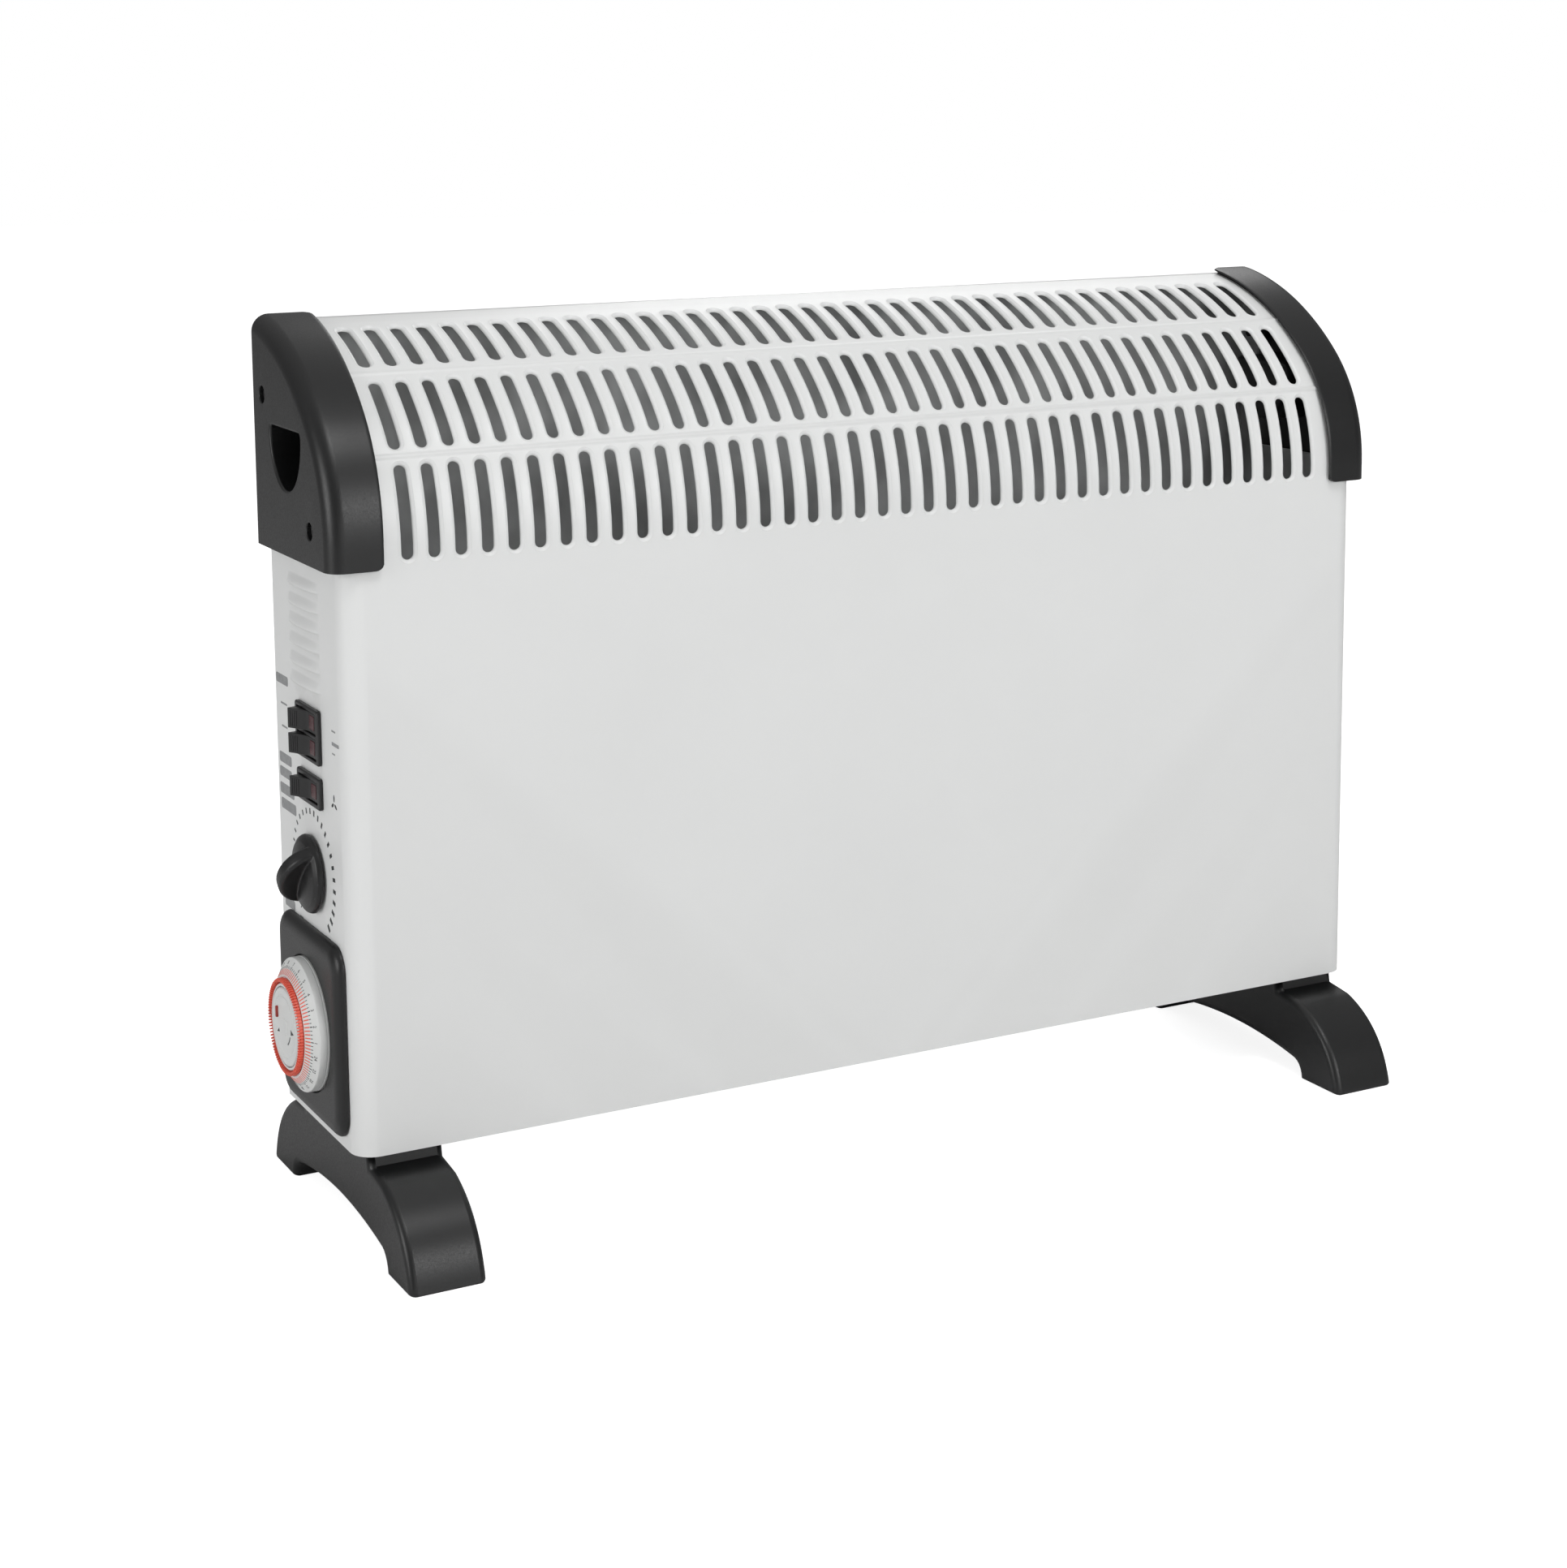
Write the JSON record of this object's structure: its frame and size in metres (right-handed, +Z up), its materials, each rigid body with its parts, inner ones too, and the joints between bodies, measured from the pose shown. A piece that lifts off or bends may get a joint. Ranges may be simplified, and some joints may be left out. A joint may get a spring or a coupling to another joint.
{
  "type": "fan convector heater",
  "caption": "Free-standing fan convector heater with a curved slotted outlet, moulded end caps and feet, rocker switches, a thermostat knob and a plug-in-pin day timer.",
  "frame": {"origin": "on the floor, under the middle of the heater's bounding box", "axes": "+X along the front, away from the control end, +Y from the front to the back, +Z up"},
  "size_m": [0.572, 0.1888, 0.4151],
  "materials": {
    "white_paint": "satin powder coat, very light warm grey-white",
    "charcoal_plastic": "fine-textured satin charcoal moulding",
    "black_plastic": "semi-gloss black moulding",
    "zinc_sheet": "galvanised sheet with a faint spangle",
    "plated_steel": "zinc-plated steel",
    "aluminium": "extruded aluminium",
    "ceramic": "unglazed white ceramic",
    "dial_plastic": "white semi-gloss plastic with printed numerals",
    "red_plastic": "orange-red semi-gloss plastic",
    "copper_winding": "enamelled copper winding",
    "cream_moulding": "natural cream moulding"
  },
  "bodies": {
    "heater": {"casing": "white_paint", "back_panel": "white_paint", "base_panel": "zinc_sheet", "left_end_cap": "charcoal_plastic", "right_end_cap": "charcoal_plastic", "left_foot": "charcoal_plastic", "right_foot": "charcoal_plastic", "timer_frame": "charcoal_plastic", "heat_switch_housing": "black_plastic", "fan_switch_housing": "black_plastic", "cord_gland": "black_plastic", "thermostat_body": "cream_moulding", "timer_body": "cream_moulding", "terminal_block": "cream_moulding", "timer_centre_disc": "dial_plastic", "heat_shield": "zinc_sheet", "left_element_bracket": "zinc_sheet", "right_element_bracket": "zinc_sheet", "fan_bracket": "zinc_sheet", "fan_shroud": "zinc_sheet", "front_heating_element": "aluminium", "rear_heating_element": "aluminium", "thermal_cutout": "plated_steel", "fan_motor_core": "plated_steel", "fan_motor_coil": "copper_winding", "front_element_bush_left": "ceramic", "front_element_bush_right": "ceramic", "rear_element_bush_left": "ceramic", "rear_element_bush_right": "ceramic", "back_screw_1": "plated_steel", "back_screw_2": "plated_steel", "back_screw_3": "plated_steel", "back_screw_4": "plated_steel", "left_foot_screw_front": "plated_steel", "left_foot_screw_back": "plated_steel", "right_foot_screw_front": "plated_steel", "right_foot_screw_back": "plated_steel", "left_cap_screw_lower": "plated_steel", "left_cap_screw_upper": "plated_steel", "right_cap_screw_lower": "plated_steel", "right_cap_screw_upper": "plated_steel"},
    "upper_heat_rocker": {"upper_heat_rocker": "black_plastic"},
    "lower_heat_rocker": {"lower_heat_rocker": "black_plastic"},
    "fan_rocker": {"fan_rocker": "black_plastic"},
    "thermostat": {"thermostat_knob": "black_plastic", "thermostat_spindle": "plated_steel"},
    "timer_dial": {"timer_dial": "dial_plastic", "timer_pin_ring": "red_plastic"},
    "timer_override": {"timer_override_lever": "red_plastic"},
    "fan": {"fan_impeller": "black_plastic", "fan_shaft": "plated_steel"}
  },
  "joints": [
    {"name": "upper_heat_rocker_rock", "type": "hinge", "parent": "heater", "child": "upper_heat_rocker", "pos_m": [-0.268, 0, 0.2365], "axis": [0, 0, 1], "range_deg": [-29, 0]},
    {"name": "lower_heat_rocker_rock", "type": "hinge", "parent": "heater", "child": "lower_heat_rocker", "pos_m": [-0.268, 0, 0.2251], "axis": [0, 0, 1], "range_deg": [-29, 0]},
    {"name": "fan_rocker_rock", "type": "hinge", "parent": "heater", "child": "fan_rocker", "pos_m": [-0.268, 0, 0.2053], "axis": [0, 0, 1], "range_deg": [-29, 0]},
    {"name": "thermostat_turn", "type": "hinge", "parent": "heater", "child": "thermostat", "pos_m": [-0.269, 0.0016, 0.1658], "axis": [1, 0, 0], "range_deg": [-176, 98]},
    {"name": "timer_dial_turn", "type": "hinge", "parent": "heater", "child": "timer_dial", "pos_m": [-0.269, 0.003, 0.096], "axis": [1, 0, 0], "continuous": true},
    {"name": "timer_override_turn", "type": "hinge", "parent": "heater", "child": "timer_override", "pos_m": [-0.284, 0.0115, 0.101], "axis": [1, 0, 0], "range_deg": [-35, 35]},
    {"name": "fan_spin", "type": "hinge", "parent": "heater", "child": "fan", "pos_m": [0.1175, 0, 0.0975], "axis": [0, 0, 1], "continuous": true}
  ]
}
